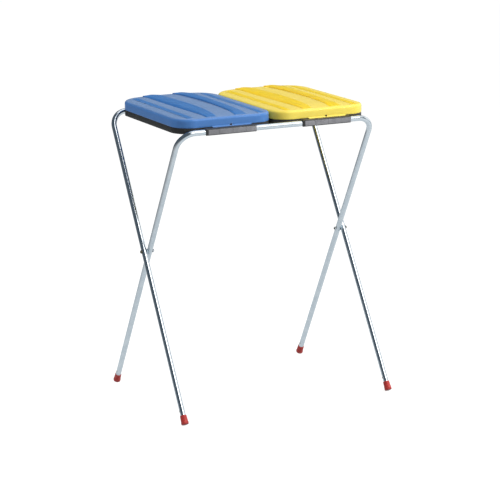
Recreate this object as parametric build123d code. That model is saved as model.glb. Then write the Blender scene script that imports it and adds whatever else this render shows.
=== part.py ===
from build123d import *
import math
import os

# Double folding bin bag stand. Two bent steel tube frames cross at a bolted pivot on each side. Two moulded
# bag rings hook over the front bar and swing on the rear bar, and each ring carries a hinged moulded lid.
# Frame: millimetres, +Z up, -Y is the front, the origin lies on the floor below the pivot axis.

# Tube frames
tube_diameter = 18.0
tube_wall = 1.2
pivot_height = 510.0
lean_deg = 29.6
front_bar_reach = 471.5  # pivot axis to the front bar's centre, along the inner frame
nesting_gap = 1.0  # left between the two bars when the frames fold flat
outer_top_half_width = 370.0
outer_leg_splay = 0.00696  # sideways run of a leg per mm of its length
inner_top_half_width = 350.0
bend_radius = 55.0

# Feet
cap_length = 30.0
cap_floor = 4.0
cap_rim_radius = 10.6
cap_foot_radius = 12.2
cap_corner_radius = 3.5
cap_corner_steps = 3  # flat bands that round the corner off
cap_band_width = 3.0
cap_band_proud = 0.5
cap_band_height = 7.0
cap_fit = 0.05
cap_flat_depth = 0.6  # worn flat where the cap stands on the floor
drain_hole_diameter = 5.0
drain_hole_above_cap = 14.0

# Pivots
bolt_diameter = 6.0
bolt_fit = 0.05
bolt_head_diameter = 11.0
bolt_head_height = 4.0
bolt_head_chamfer = 1.8
bolt_tip = 1.6
bolt_tip_chamfer = 0.6
nut_across_flats = 10.0
nut_height = 5.0
nut_collar_height = 1.4
nut_collar_diameter = 9.2
spacer_gap = 1.5
spacer_diameter = 16.0
spacer_saddle_depth = 3.0
pivot_running_gap = 0.3

# Bag rings, measured in the ring plane: u across, s from the front bar to the rear bar, h above the bars
ring_pitch = 345.0
lid_width = 342.0
lid_front = 16.0
lid_corner_radius = 62.0
lid_skirt_bottom = 12.5
lid_edge_height = 28.0
lid_wall = 2.2
lid_clearance = 1.0
lid_seat_gap = 0.3
ring_wall = 2.4
ring_inner_wall = 2.0
ring_rim_width = 18.0
ring_drop = 6.0  # depth of the outer wall below the bars
ring_inner_drop = 22.0  # depth of the inner wall below the rim
ring_top_chamfer = 1.2
gusset_thickness = 1.8
gusset_depth = 24.0
gusset_pitch = 62.0

# Front hook of a ring, open downwards and to the rear so that it lifts off the bar
hook_width = 176.0
hook_wall = 2.4
hook_top_wall = 1.9
hook_clearance = 0.4
hook_corner_radius = 3.5
hook_lip_depth = 9.8
hook_web_top = 8.0
hook_web_bottom = 4.8
hook_release_deg = 60.0
strip_thickness = 1.2
strip_height = 14.0
strip_edge_chamfer = 0.4
strip_end_margin = 3.0
strip_mark_width = 1.2
strip_mark_depth = 0.4
strip_mark_pitch = 48.0

# Rear barrels of a ring and the lid's hinge
barrel_width = 42.0
barrel_spacing = 170.0
barrel_wall = 2.7
barrel_web = 1.0  # between the barrel and the ring's rear wall
barrel_fit = 0.06
barrel_mouth_deg = 100.0
lug_thickness = 5.0
knuckle_width = 15.0
knuckle_gap = 0.4
knuckle_round_gap = 0.1  # the knuckle's radius is this much under the lugs' bosses
boss_radius = 4.5
pin_diameter = 5.0
pin_behind_bar = 4.5
pin_above_bar = 17.0
pin_fit = 0.03
pin_running_fit = 0.06
pin_overhang = 1.5
pin_chamfer = 0.5
lid_to_pin = 8.0

# Lid top
lid_crown = 5.5
lid_edge_fillet = 6.0
wide_bands = [
    {"left": (-66.0, -86.0, -70.0), "right": (-24.0, 11.0, -11.0)},
    {"left": (40.0, 73.0, 40.0), "right": (81.0, 112.0, 93.0)},
]  # u of each long edge at the front, the middle and the rear
band_wave = [(0.0, 4.4), (24.0, 5.4), (56.0, 1.6)]  # distance from the stepped edge, height above the crown
band_tail = 0.8
band_fall_deg = 0.4  # the bands run out towards the front
band_front_margin = 20.0
band_rear_margin = 7.0
narrow_band_width = 18.0
narrow_band_offset = 118.0
narrow_band_height = 1.2
tab_width = 132.0
tab_proud = 1.2
tab_bottom = 8.7
tab_top = 19.0
tab_corner_radius = 3.0
lock_hole_diameter = 5.5
lock_hole_height = 14.8

# Worked out from the sizes above
tube_radius = tube_diameter / 2
lean = math.radians(lean_deg)
rear_bar_reach = front_bar_reach + tube_diameter + nesting_gap
front_bar_y = -front_bar_reach * math.sin(lean)
front_bar_z = pivot_height + front_bar_reach * math.cos(lean)
rear_bar_y = rear_bar_reach * math.sin(lean)
rear_bar_z = pivot_height + rear_bar_reach * math.cos(lean)
bar_span = math.hypot(rear_bar_y - front_bar_y, rear_bar_z - front_bar_z)
ring_tilt = math.atan2(rear_bar_z - front_bar_z, rear_bar_y - front_bar_y)
outer_pivot_half_width = outer_top_half_width + rear_bar_reach * outer_leg_splay
inner_pivot_half_width = outer_pivot_half_width - tube_diameter - spacer_gap
inner_leg_splay = (inner_pivot_half_width - inner_top_half_width) / front_bar_reach
cap_corner_angles = [math.pi / 2 * step / cap_corner_steps for step in range(cap_corner_steps + 1)]
cap_corner = [
    (cap_foot_radius - cap_corner_radius * (1 - math.sin(a)), cap_corner_radius * (1 - math.cos(a)) - cap_floor)
    for a in cap_corner_angles
]  # distance from the leg's centre line, height above the tube's end
cap_lowest = max(radius * math.sin(lean) - height * math.cos(lean) for radius, height in cap_corner)
leg_length = (pivot_height + cap_flat_depth - cap_lowest) / math.cos(lean)
hook_bore = tube_radius + hook_clearance
hook_front = hook_bore + hook_wall
hook_top = hook_bore + hook_top_wall
barrel_bore = tube_radius + barrel_fit
barrel_radius = barrel_bore + barrel_wall
pin_s = bar_span + pin_behind_bar
lid_rear = pin_s - lid_to_pin
lid_top = lid_skirt_bottom + lid_edge_height
ring_front = lid_front + lid_wall + lid_clearance
ring_rear = bar_span - barrel_radius - barrel_web
ring_width = lid_width - 2 * (lid_wall + lid_clearance)
ring_corner_radius = lid_corner_radius - lid_wall - lid_clearance
ring_top = lid_top - lid_wall - lid_seat_gap
barrel_places = (-barrel_spacing / 2, barrel_spacing / 2)
sides = {"left": -1, "right": 1}
reach = 1000.0  # longer than any piece, for cutting tools

outer_plane = Plane(origin=(0, 0, pivot_height), x_dir=(1, 0, 0), z_dir=(0, -math.cos(lean), math.sin(lean)))
inner_plane = Plane(origin=(0, 0, pivot_height), x_dir=(1, 0, 0), z_dir=(0, -math.cos(lean), -math.sin(lean)))
ring_plane = Plane(
    origin=(0, front_bar_y, front_bar_z), x_dir=(1, 0, 0), z_dir=(0, -math.sin(ring_tilt), math.cos(ring_tilt))
)


def half_width(top_half_width, bar_reach, splay, along):
    """Distance of a leg's centre line from the middle plane, at a height measured from the pivot axis."""
    return top_half_width + (bar_reach - along) * splay


def cylinder_across(radius, start, end, centre_y, centre_z):
    """Cylinder along X from start to end."""
    blank = Cylinder(radius, end - start, align=(Align.CENTER, Align.CENTER, Align.MIN))
    return Location((start, centre_y, centre_z), (0, 90, 0)) * blank


def section_across(profile, start, end):
    """Solid of a profile drawn as (s, h), carried across the ring from u = start to u = end."""
    plane = Plane(origin=(start, 0, 0), x_dir=(0, 1, 0), z_dir=(1, 0, 0))
    return extrude(plane * profile, amount=end - start)


def section_along(profile, start, end):
    """Solid of a profile drawn as (u, h), carried along the ring from s = start to s = end."""
    plane = Plane(origin=(0, end, 0), x_dir=(1, 0, 0), z_dir=(0, -1, 0))
    return extrude(plane * profile, amount=end - start)


def block(low, high):
    """Box between two corners."""
    size = [b - a for a, b in zip(low, high)]
    return Location(low) * Box(*size, align=(Align.MIN, Align.MIN, Align.MIN))


# Tube frames
def leg_frame(plane, top_half_width, bar_reach, splay):
    """Upside-down U of bent tube, with the pivot holes and a drain hole above each foot cap."""
    foot_half_width = half_width(top_half_width, bar_reach, splay, -leg_length)
    corners = [
        (-foot_half_width, -leg_length),
        (-top_half_width, bar_reach),
        (top_half_width, bar_reach),
        (foot_half_width, -leg_length),
    ]
    path = plane * FilletPolyline(*corners, radius=bend_radius)
    start = Plane(origin=path @ 0, z_dir=path % 0)
    ring = start * (Circle(tube_radius) - Circle(tube_radius - tube_wall))
    frame = sweep(ring, path=path)
    outside = foot_half_width + tube_diameter
    bolt_hole = bolt_diameter / 2 + bolt_fit
    frame = frame - cylinder_across(bolt_hole, -outside, outside, 0, pivot_height)
    drain = plane.from_local_coords(Vector(0, drain_hole_along, 0))
    return frame - cylinder_across(drain_hole_diameter / 2, -outside, outside, drain.Y, drain.Z)


def foot_cap(plane, top_half_width, bar_reach, splay, side):
    """Moulded cup pushed over a leg's end, with a raised band and a flat where it meets the floor."""
    foot_half_width = half_width(top_half_width, bar_reach, splay, -leg_length)
    foot = plane.from_local_coords(Vector(side * foot_half_width, -leg_length, 0))
    upper = plane.from_local_coords(Vector(side * top_half_width, bar_reach, 0))
    seat = Plane(origin=foot, x_dir=(0, 1, 0), z_dir=upper - foot)
    rim = cap_length - cap_floor
    bore = tube_radius + cap_fit
    taper = (cap_foot_radius - cap_rim_radius) / cap_length
    band_middle = cap_band_height - cap_floor
    band_radius = cap_foot_radius - taper * cap_band_height + cap_band_proud
    band_low = band_middle - cap_band_width / 2
    band_high = band_middle + cap_band_width / 2
    with BuildPart() as cup:
        with BuildSketch(Plane.XZ):
            with BuildLine():
                Polyline(
                    (0, -cap_floor),
                    *cap_corner,
                    (cap_foot_radius - taper * (band_low + cap_floor), band_low),
                    (band_radius, band_low + cap_band_proud),
                    (band_radius, band_high - cap_band_proud),
                    (cap_foot_radius - taper * (band_high + cap_floor), band_high),
                    (cap_rim_radius, rim),
                    (bore, rim),
                    (bore, 0),
                    (0, 0),
                    close=True,
                )
            make_face()
        revolve(axis=Axis.Z)
    cap = seat.location * cup.part
    return cap - block((-reach, -reach, -reach), (reach, reach, 0))


drain_hole_along = -leg_length + cap_length - cap_floor + drain_hole_above_cap
frames = {
    "outer": (outer_plane, outer_top_half_width, rear_bar_reach, outer_leg_splay),
    "inner": (inner_plane, inner_top_half_width, front_bar_reach, inner_leg_splay),
}


# Pivots, drawn on the left side with the head outside, and mirrored for the right side
def pivot_bolt():
    """Round-headed bolt through both legs."""
    head_seat = -outer_pivot_half_width - tube_radius - bolt_fit
    tip = -inner_pivot_half_width + tube_radius + pivot_running_gap + nut_height + bolt_tip
    shank = cylinder_across(bolt_diameter / 2, head_seat, tip, 0, pivot_height)
    shank = chamfer(shank.edges().sort_by(Axis.X)[-1], bolt_tip_chamfer)
    head = cylinder_across(bolt_head_diameter / 2, head_seat - bolt_head_height, head_seat, 0, pivot_height)
    head = chamfer(head.edges().sort_by(Axis.X)[0], bolt_head_chamfer)
    socket = RegularPolygon(bolt_head_height / 2, 6)
    socket_plane = Plane(origin=(head_seat - bolt_head_height, 0, pivot_height), z_dir=(1, 0, 0))
    return shank + head - extrude(socket_plane * socket, amount=bolt_head_height / 2)


def pivot_nut():
    """Hexagon nut with a locking collar, against the inside of the inner leg."""
    seat = -inner_pivot_half_width + tube_radius + pivot_running_gap
    plane = Plane(origin=(seat, 0, pivot_height), z_dir=(1, 0, 0))
    across_corners = nut_across_flats / math.cos(math.pi / 6)
    hexagon = extrude(plane * RegularPolygon(across_corners / 2, 6), amount=nut_height - nut_collar_height)
    collar = cylinder_across(nut_collar_diameter / 2, seat, seat + nut_height, 0, pivot_height)
    bore = cylinder_across(bolt_diameter / 2 + bolt_fit, seat, seat + nut_height, 0, pivot_height)
    return hexagon + collar - bore


def pivot_spacer():
    """Round spacer between the legs, saddled over the outer leg and flat against the inner one."""
    flat = -inner_pivot_half_width - tube_radius - pivot_running_gap
    start = -outer_pivot_half_width + tube_radius - spacer_saddle_depth
    disc = cylinder_across(spacer_diameter / 2, start, flat, 0, pivot_height)
    leg_low = outer_plane.from_local_coords(Vector(-outer_pivot_half_width, 0, 0))
    leg_high = outer_plane.from_local_coords(Vector(-outer_top_half_width, rear_bar_reach, 0))
    leg = Plane(origin=leg_low, z_dir=leg_high - leg_low).location * Cylinder(tube_radius + bolt_fit, reach)
    bore = cylinder_across(bolt_diameter / 2 + bolt_fit, start, flat, 0, pivot_height)
    return disc - leg - bore


# Bag ring
def rounded_outline(width, start, end, radius):
    """Rectangle across the ring from s = start to s = end with round corners."""
    return Pos(0, (start + end) / 2) * RectangleRounded(width, end - start, radius)


def wall_loop(inset, thickness, low, high):
    """Band of wall that follows the ring's outline at an inset."""
    outer = rounded_outline(
        ring_width - 2 * inset, ring_front + inset, ring_rear - inset, ring_corner_radius - inset
    )
    inner_inset = inset + thickness
    inner = rounded_outline(
        ring_width - 2 * inner_inset, ring_front + inner_inset, ring_rear - inner_inset,
        ring_corner_radius - inner_inset,
    )
    return Pos(0, 0, low) * extrude(outer - inner, amount=high - low)


def ring_rim():
    """Inverted channel: deep outer wall, flat rim and shorter inner wall, with bevelled top edges."""
    rim = wall_loop(0, ring_rim_width, -ring_drop, ring_top)
    top_edges = rim.faces().sort_by(Axis.Z)[-1].edges()
    rim = chamfer(top_edges, ring_top_chamfer)
    channel = wall_loop(
        ring_wall, ring_rim_width - ring_wall - ring_inner_wall, -ring_drop, ring_top - ring_wall
    )
    inner_wall_trim = wall_loop(
        ring_wall, ring_rim_width - ring_wall, -ring_drop, ring_top - ring_inner_drop
    )
    return rim - channel - inner_wall_trim


def ring_gussets():
    """Thin stiffeners across the channel, in a row along each straight side."""
    low = ring_top - gusset_depth
    high = ring_top - ring_wall / 2
    long_run = ring_rear - ring_front - 2 * ring_corner_radius
    short_run = ring_width - 2 * ring_corner_radius
    inner = ring_rim_width - ring_inner_wall / 2
    outer = ring_wall / 2
    half = gusset_thickness / 2
    middle = (ring_front + ring_rear) / 2
    plates = []
    long_count = int(long_run / gusset_pitch) + 1
    for index in range(long_count):
        s = middle + (index - (long_count - 1) / 2) * gusset_pitch
        for side in sides.values():
            edge = side * (ring_width / 2)
            near, far = sorted((edge - side * outer, edge - side * inner))
            plates.append(block((near, s - half, low), (far, s + half, high)))
    short_count = int(short_run / gusset_pitch) + 1
    for index in range(short_count):
        u = (index - (short_count - 1) / 2) * gusset_pitch
        plates.append(block((u - half, ring_front + outer, low), (u + half, ring_front + inner, high)))
        plates.append(block((u - half, ring_rear - inner, low), (u + half, ring_rear - outer, high)))
    return plates


def front_hook():
    """Hook over the front bar. The bar can leave it downwards and to the rear as the ring swings up."""
    release = math.radians(-hook_release_deg)
    with BuildSketch() as profile:
        with Locations(((hook_bore + hook_wall - hook_front) / 2, (hook_top - hook_lip_depth) / 2)):
            RectangleRounded(hook_front + hook_bore + hook_wall, hook_top + hook_lip_depth, hook_corner_radius)
        Circle(hook_bore, mode=Mode.SUBTRACT)
        middle = 2 * tube_diameter
        with Locations(Location((middle * math.cos(release), middle * math.sin(release)), -hook_release_deg)):
            Rectangle(2 * middle, 2 * hook_bore, mode=Mode.SUBTRACT)
        with Locations((tube_diameter, hook_web_bottom - tube_diameter)):
            Rectangle(2 * tube_diameter, 2 * tube_diameter, mode=Mode.SUBTRACT)
        web_start = hook_bore
        with Locations(((web_start + ring_front + ring_wall / 2) / 2, (hook_web_top + hook_web_bottom) / 2)):
            Rectangle(ring_front + ring_wall / 2 - web_start, hook_web_top - hook_web_bottom)
    return section_across(profile.sketch, -hook_width / 2, hook_width / 2)


def rear_barrel(place):
    """Open barrel that grips the rear bar, joined to the ring's rear wall, with two lugs for the lid's pin."""
    mouth = math.radians(barrel_mouth_deg / 2)
    depth = 2 * barrel_radius
    with BuildSketch() as profile:
        with Locations((bar_span, 0)):
            Circle(barrel_radius)
        web_end = bar_span - barrel_bore
        web_start = ring_rear - ring_wall / 2
        with Locations(((web_start + web_end) / 2, 0)):
            Rectangle(web_end - web_start, 2 * ring_drop)
        with Locations((bar_span, 0)):
            Circle(barrel_bore, mode=Mode.SUBTRACT)
            with BuildLine():
                Polyline((0, 0), (depth * math.tan(mouth), -depth), (-depth * math.tan(mouth), -depth), close=True)
            make_face(mode=Mode.SUBTRACT)
    barrel = section_across(profile.sketch, place - barrel_width / 2, place + barrel_width / 2)
    with BuildSketch() as lug:
        with Locations((pin_s, pin_above_bar)):
            Circle(boss_radius)
        with Locations((pin_s, (pin_above_bar + barrel_bore / 2) / 2)):
            Rectangle(2 * boss_radius, pin_above_bar - barrel_bore / 2)
        with Locations((bar_span, 0)):
            Circle(barrel_bore, mode=Mode.SUBTRACT)
        with Locations((pin_s, pin_above_bar)):
            Circle(pin_diameter / 2 + pin_fit, mode=Mode.SUBTRACT)
    inner = knuckle_width / 2 + knuckle_gap
    outer = inner + lug_thickness
    return [
        barrel,
        section_across(lug.sketch, place - outer, place - inner),
        section_across(lug.sketch, place + inner, place + outer),
    ]


def bag_ring():
    """One moulding: rim, stiffeners, front hook and rear barrels."""
    ring = ring_rim() + ring_gussets()
    ring = ring + front_hook()
    for place in barrel_places:
        ring = ring + rear_barrel(place)
    return ring


def front_strip():
    """Flat strip on the hook's front face, with two fine grooves."""
    face = -hook_front
    low = (hook_top - hook_lip_depth) / 2 - strip_height / 2
    half = hook_width / 2 - strip_end_margin
    strip = block((-half, face - strip_thickness, low), (half, face, low + strip_height))
    front_edges = strip.faces().sort_by(Axis.Y)[0].edges()
    strip = chamfer(front_edges, strip_edge_chamfer)
    for place in (-strip_mark_pitch / 2, strip_mark_pitch / 2):
        groove = block(
            (place - strip_mark_width / 2, face - strip_thickness, low),
            (place + strip_mark_width / 2, face - strip_thickness + strip_mark_depth, low + strip_height),
        )
        strip = strip - groove
    return strip


def hinge_pin(place):
    """Plain pin through both lugs and the lid's knuckle."""
    half = knuckle_width / 2 + knuckle_gap + lug_thickness + pin_overhang
    pin = cylinder_across(pin_diameter / 2, place - half, place + half, pin_s, pin_above_bar)
    return chamfer(pin.edges().filter_by(GeomType.CIRCLE), pin_chamfer)


# Lid
def crown_height(u):
    """Height of the crowned lid top above its edge, across the lid."""
    return lid_crown * (1 - (2 * u / lid_width) ** 2)


def crown_prism(drop):
    """Everything below the crowned top, lowered by a wall thickness for the inside."""
    half = lid_width / 2
    with BuildSketch() as profile:
        with BuildLine():
            ThreePointArc((-half, lid_top - drop), (0, lid_top + lid_crown - drop), (half, lid_top - drop))
            Polyline((half, lid_top - drop), (half, -reach), (-half, -reach), (-half, lid_top - drop))
        make_face()
    return section_along(profile.sketch, lid_front, lid_rear)


def band_outline(left, right, inset):
    """Leaf between two arcs, each given by its places at the front, the middle and the rear."""
    front = lid_front + band_front_margin
    rear = lid_rear - band_rear_margin
    middle = (front + rear) / 2
    with BuildSketch() as leaf:
        with BuildLine():
            ThreePointArc((left[0], front), (left[1], middle), (left[2], rear))
            Line((left[2], rear), (right[2], rear))
            ThreePointArc((right[2], rear), (right[1], middle), (right[0], front))
            Line((right[0], front), (left[0], front))
        make_face()
    return offset(leaf.sketch, amount=-inset) if inset else leaf.sketch


def wide_band(left, right, inset, drop):
    """Raised band with a step on its left edge that rolls over and runs out to the right."""
    step_at = min(left)
    end_at = max(right)
    floor = lid_top - drop - lid_wall
    crest = [(step_at + along, rise) for along, rise in band_wave] + [(end_at, band_tail)]
    crest = [(u, lid_top - drop + crown_height(u) + rise) for u, rise in crest]
    with BuildSketch() as profile:
        with BuildLine():
            Spline(*crest)
            Polyline(crest[-1], (end_at, lid_skirt_bottom), (step_at, lid_skirt_bottom), crest[0])
        make_face()
    wave = section_along(profile.sketch, lid_front, lid_rear)
    wave = Pos(0, lid_rear, 0) * Rot(band_fall_deg, 0, 0) * Pos(0, -lid_rear, 0) * wave
    column = Pos(0, 0, floor) * extrude(band_outline(left, right, inset), amount=lid_edge_height)
    return wave & column


def narrow_band(side, inset, drop):
    """Low straight band beside the lid's edge."""
    front = lid_front + band_front_margin + inset
    rear = lid_rear - band_rear_margin - inset
    centre = side * narrow_band_offset
    half = narrow_band_width / 2 - inset
    top = lid_top + crown_height(centre) + narrow_band_height - drop
    return block((centre - half, front, lid_top - lid_wall - drop), (centre + half, rear, top))


def lid_form(inset, drop):
    """Solid lid, or the hollow inside it when called with the wall thickness."""
    outline = rounded_outline(
        lid_width - 2 * inset, lid_front + inset, lid_rear - inset, lid_corner_radius - inset
    )
    low = lid_skirt_bottom - drop
    body = Pos(0, 0, low) * extrude(outline, amount=2 * lid_edge_height)
    body = body & crown_prism(drop)
    rim = body.edges().filter_by(lambda edge: edge.center().Z > lid_top - drop - lid_crown)
    rim = rim.filter_by(lambda edge: edge.length > lid_crown * 2)
    body = fillet(rim, lid_edge_fillet - inset)
    bands = [wide_band(band["left"], band["right"], inset, drop) for band in wide_bands]
    bands = bands + [narrow_band(side, inset, drop) for side in sides.values()]
    return body + bands


def lid_tab():
    """Shallow grip tab on the front skirt, a little proud of it and below it."""
    height = tab_top - tab_bottom
    plane = Plane(origin=(0, lid_front + lid_wall, (tab_top + tab_bottom) / 2), x_dir=(1, 0, 0), z_dir=(0, -1, 0))
    return extrude(plane * RectangleRounded(tab_width, height, tab_corner_radius), amount=lid_wall + tab_proud)


def lid_knuckle(place):
    """Eye on the rear skirt that turns on the hinge pin."""
    with BuildSketch() as profile:
        with Locations((pin_s, pin_above_bar)):
            Circle(boss_radius - knuckle_round_gap)
        with Locations((pin_s - (lid_to_pin + lid_wall / 2) / 2, pin_above_bar)):
            Rectangle(lid_to_pin + lid_wall / 2, 2 * boss_radius - 2 * knuckle_gap)
        with Locations((pin_s, pin_above_bar)):
            Circle(pin_diameter / 2 + pin_running_fit, mode=Mode.SUBTRACT)
    return section_across(profile.sketch, place - knuckle_width / 2, place + knuckle_width / 2)


def lid():
    """Crowned lid shell with raised bands, front tab, lock hole and rear knuckles."""
    shell = lid_form(0, 0) - lid_form(lid_wall, lid_wall)
    shell = shell + lid_tab()
    for place in barrel_places:
        shell = shell + lid_knuckle(place)
    hole_plane = Plane(origin=(0, lid_front + 2 * lid_wall, lock_hole_height), x_dir=(1, 0, 0), z_dir=(0, -1, 0))
    hole = extrude(hole_plane * Circle(lock_hole_diameter / 2), amount=4 * lid_wall)
    return shell - hole


# Nodes
nodes = {}
for name, frame in frames.items():
    nodes[name + "_frame"] = leg_frame(*frame)
for side_name, side in sides.items():
    nodes[side_name + "_front_cap"] = foot_cap(*frames["outer"], side)
    nodes[side_name + "_rear_cap"] = foot_cap(*frames["inner"], side)
pivot_pieces = {"pivot_bolt": pivot_bolt(), "pivot_nut": pivot_nut(), "pivot_spacer": pivot_spacer()}
for piece_name, piece in pivot_pieces.items():
    nodes["left_" + piece_name] = piece
    nodes["right_" + piece_name] = piece.mirror(Plane.YZ)

ring_pieces = {
    "bag_ring": bag_ring(),
    "front_strip": front_strip(),
    "lid": lid(),
    "lid_pin_a": hinge_pin(barrel_places[0]),
    "lid_pin_b": hinge_pin(barrel_places[1]),
}
for side_name, side in sides.items():
    for piece_name, piece in ring_pieces.items():
        nodes[side_name + "_" + piece_name] = ring_plane.location * Pos(side * ring_pitch / 2, 0, 0) * piece

os.makedirs("parts", exist_ok=True)
for name, shape in nodes.items():
    shape.label = name
    export_step(shape, "parts/" + name + ".step")
    print(name, len(shape.solids()), round(shape.volume / 1000, 2), "cm3")
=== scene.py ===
import math

import bpy
import numpy as np
from mathutils import Matrix, Vector


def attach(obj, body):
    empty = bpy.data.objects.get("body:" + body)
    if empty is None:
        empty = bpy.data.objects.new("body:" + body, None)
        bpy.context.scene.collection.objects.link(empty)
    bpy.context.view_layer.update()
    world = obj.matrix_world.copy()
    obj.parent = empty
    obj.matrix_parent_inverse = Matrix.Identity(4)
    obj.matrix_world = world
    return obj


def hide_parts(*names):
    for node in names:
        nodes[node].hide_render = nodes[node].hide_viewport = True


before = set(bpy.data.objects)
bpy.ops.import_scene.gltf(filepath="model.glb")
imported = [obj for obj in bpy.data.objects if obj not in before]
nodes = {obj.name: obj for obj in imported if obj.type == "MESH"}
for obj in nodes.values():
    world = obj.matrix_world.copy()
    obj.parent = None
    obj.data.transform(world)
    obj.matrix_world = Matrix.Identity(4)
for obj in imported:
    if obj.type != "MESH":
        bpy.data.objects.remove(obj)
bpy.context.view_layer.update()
scene = bpy.context.scene
print("frame loaded:", len(nodes), "nodes")

# ring plane, in metres: u across from the ring's centre, s from the front bar to the rear bar, h above both
ringPlane = {
    "barY": -0.2328936,
    "barZ": 0.9199669,
    "tiltDeg": 1.9911,
    "ringCentre": 0.1725,
}


# point = bar centre + s along the tilted plane + h square to it, for whole arrays
def fromRingPlane(centre, u, s, h):
    tilt = math.radians(ringPlane["tiltDeg"])
    u, s, h = np.broadcast_arrays(u, s, h)
    y = ringPlane["barY"] + s * math.cos(tilt) - h * math.sin(tilt)
    z = ringPlane["barZ"] + s * math.sin(tilt) + h * math.cos(tilt)
    return np.stack([centre + u, y, z], axis=-1)


sharpDeg = 35.0  # edges that turn by more are drawn sharp


# a piece from whole arrays of points and faces, drawn smooth, on its body and slot
def makePiece(name, points, faces, body, material):
    mesh = bpy.data.meshes.new(name)
    points = np.asarray(points, dtype=np.float64).reshape(-1, 3)
    mesh.from_pydata(points.tolist(), [], faces.tolist() if isinstance(faces, np.ndarray) else faces)
    mesh.update()
    mesh.polygons.foreach_set("use_smooth", np.ones(len(mesh.polygons), dtype=bool))
    mesh.set_sharp_from_angle(angle=math.radians(sharpDeg))
    piece = bpy.data.objects.new(name, mesh)
    scene.collection.objects.link(piece)
    mesh.materials.append(material)
    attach(piece, body)
    return piece


# one value for each point of a piece, for its material to read
def writeLayers(piece, layers):
    for label, values in layers.items():
        layer = piece.data.attributes.new(label, "FLOAT", "POINT")
        layer.data.foreach_set("value", np.asarray(values, dtype=np.float32))


# quads of a grid whose rows are whole index arrays; turned over when flip is set
def gridQuads(index, flip=False):
    a, b = index[:-1, :-1], index[:-1, 1:]
    c, d = index[1:, 1:], index[1:, :-1]
    quads = np.stack([a, b, c, d], axis=-1).reshape(-1, 4)
    return quads[:, ::-1] if flip else quads


# the grid with its first column once more at the end, so that its rows close
def closeRows(index):
    return np.concatenate([index, index[:, :1]], axis=1)


# a rod: closed rows joined one to the next, with the first and last row as its end faces
def rodFaces(index):
    return gridQuads(closeRows(index)).tolist() + [index[0].tolist(), index[-1, ::-1].tolist()]


# a hoop: closed rows joined one to the next, and the last to the first
def hoopFaces(index, flip=False):
    return gridQuads(closeRows(np.concatenate([index, index[:1]])), flip)


# natural cubic spline, for a whole array at once: height = the left place's height + slope x + curve x^2 +
# bend x^3, with the curve at each place solved so that slopes meet, and no curve at the ends
def splineThrough(places, heights, x):
    places, heights = np.asarray(places, float), np.asarray(heights, float)
    step = np.diff(places)
    rise = np.diff(heights) / step
    count = len(places)
    system, right = np.eye(count), np.zeros(count)
    for i in range(1, count - 1):
        system[i, i - 1:i + 2] = step[i - 1], 2 * (step[i - 1] + step[i]), step[i]
        right[i] = 3 * (rise[i] - rise[i - 1])
    curve = np.linalg.solve(system, right)
    k = np.clip(np.searchsorted(places, x) - 1, 0, count - 2)
    slope = rise[k] - step[k] * (2 * curve[k] + curve[k + 1]) / 3
    bend = (curve[k + 1] - curve[k]) / (3 * step[k])
    along = x - places[k]
    return heights[k] + slope * along + curve[k] * along ** 2 + bend * along ** 3


# closed profile with its corners rounded off: each corner = the parabola from one side to the other that has
# the corner as its control point, a radius long on both sides
def roundProfile(corners, radius, steps=4):
    corners = np.asarray(corners, float)
    toBefore, toAfter = np.roll(corners, 1, axis=0) - corners, np.roll(corners, -1, axis=0) - corners
    toBefore /= np.linalg.norm(toBefore, axis=1, keepdims=True)
    toAfter /= np.linalg.norm(toAfter, axis=1, keepdims=True)
    t = np.linspace(0, 1, steps)[None, :, None]
    start, end = (corners + radius * toBefore)[:, None], (corners + radius * toAfter)[:, None]
    middle = corners[:, None]
    return ((1 - t) ** 2 * start + 2 * t * (1 - t) * middle + t ** 2 * end).reshape(-1, 2)


# a node group with its named inputs and outputs; a tuple stands for a colour
def newGroup(name, inputs, outputs):
    group = bpy.data.node_groups.new(name, "ShaderNodeTree")
    for label, value in inputs.items():
        kind = "NodeSocketColor" if isinstance(value, tuple) else "NodeSocketFloat"
        socket = group.interface.new_socket(label, in_out="INPUT", socket_type=kind)
        socket.default_value = value
    for label, kind in outputs.items():
        group.interface.new_socket(label, in_out="OUTPUT", socket_type=kind)
    source = group.nodes.new("NodeGroupInput")
    sink = group.nodes.new("NodeGroupOutput")
    return group, source, sink


# a socket is linked, a value is set
def feed(tree, socket, value):
    if isinstance(value, bpy.types.NodeSocket):
        tree.links.new(value, socket)
    else:
        socket.default_value = value


# inputs are named by their label, or by their number as i0, i1
def addNode(tree, kind, settings=None, **inputs):
    node = tree.nodes.new(kind)
    for key, value in (settings or {}).items():
        setattr(node, key, value)
    for key, value in inputs.items():
        numbered = key[0] == "i" and key[1:].isdigit()
        feed(tree, node.inputs[int(key[1:]) if numbered else key.replace("_", " ")], value)
    return node


# one operation on up to three sockets or values; clamp keeps the result between 0 and 1
def mathNode(tree, operation, a, b=0.0, c=None, clamp=False):
    node = addNode(tree, "ShaderNodeMath", {"operation": operation, "use_clamp": clamp})
    for place, value in enumerate([a, b, c]):
        if value is not None:
            feed(tree, node.inputs[place], value)
    return node.outputs[0]


# colour = a + amount of the way to b
def mixColour(tree, amount, a, b):
    node = addNode(tree, "ShaderNodeMix", {"data_type": "RGBA"})
    for place, value in zip((0, 6, 7), (amount, a, b)):
        feed(tree, node.inputs[place], value)
    return node.outputs[2]


# noise between 0 and 1, about 0.5 on average
def noiseNode(tree, place, scale, detail):
    return addNode(tree, "ShaderNodeTexNoise", Vector=place, Scale=scale, Detail=detail).outputs[0]


# 0 up to low and 1 from high on, with a smooth step between them
def rampNode(tree, value, low, high):
    smooth = {"interpolation_type": "SMOOTHSTEP"}
    return addNode(tree, "ShaderNodeMapRange", smooth, Value=value, From_Min=low, From_Max=high).outputs[0]


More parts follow.
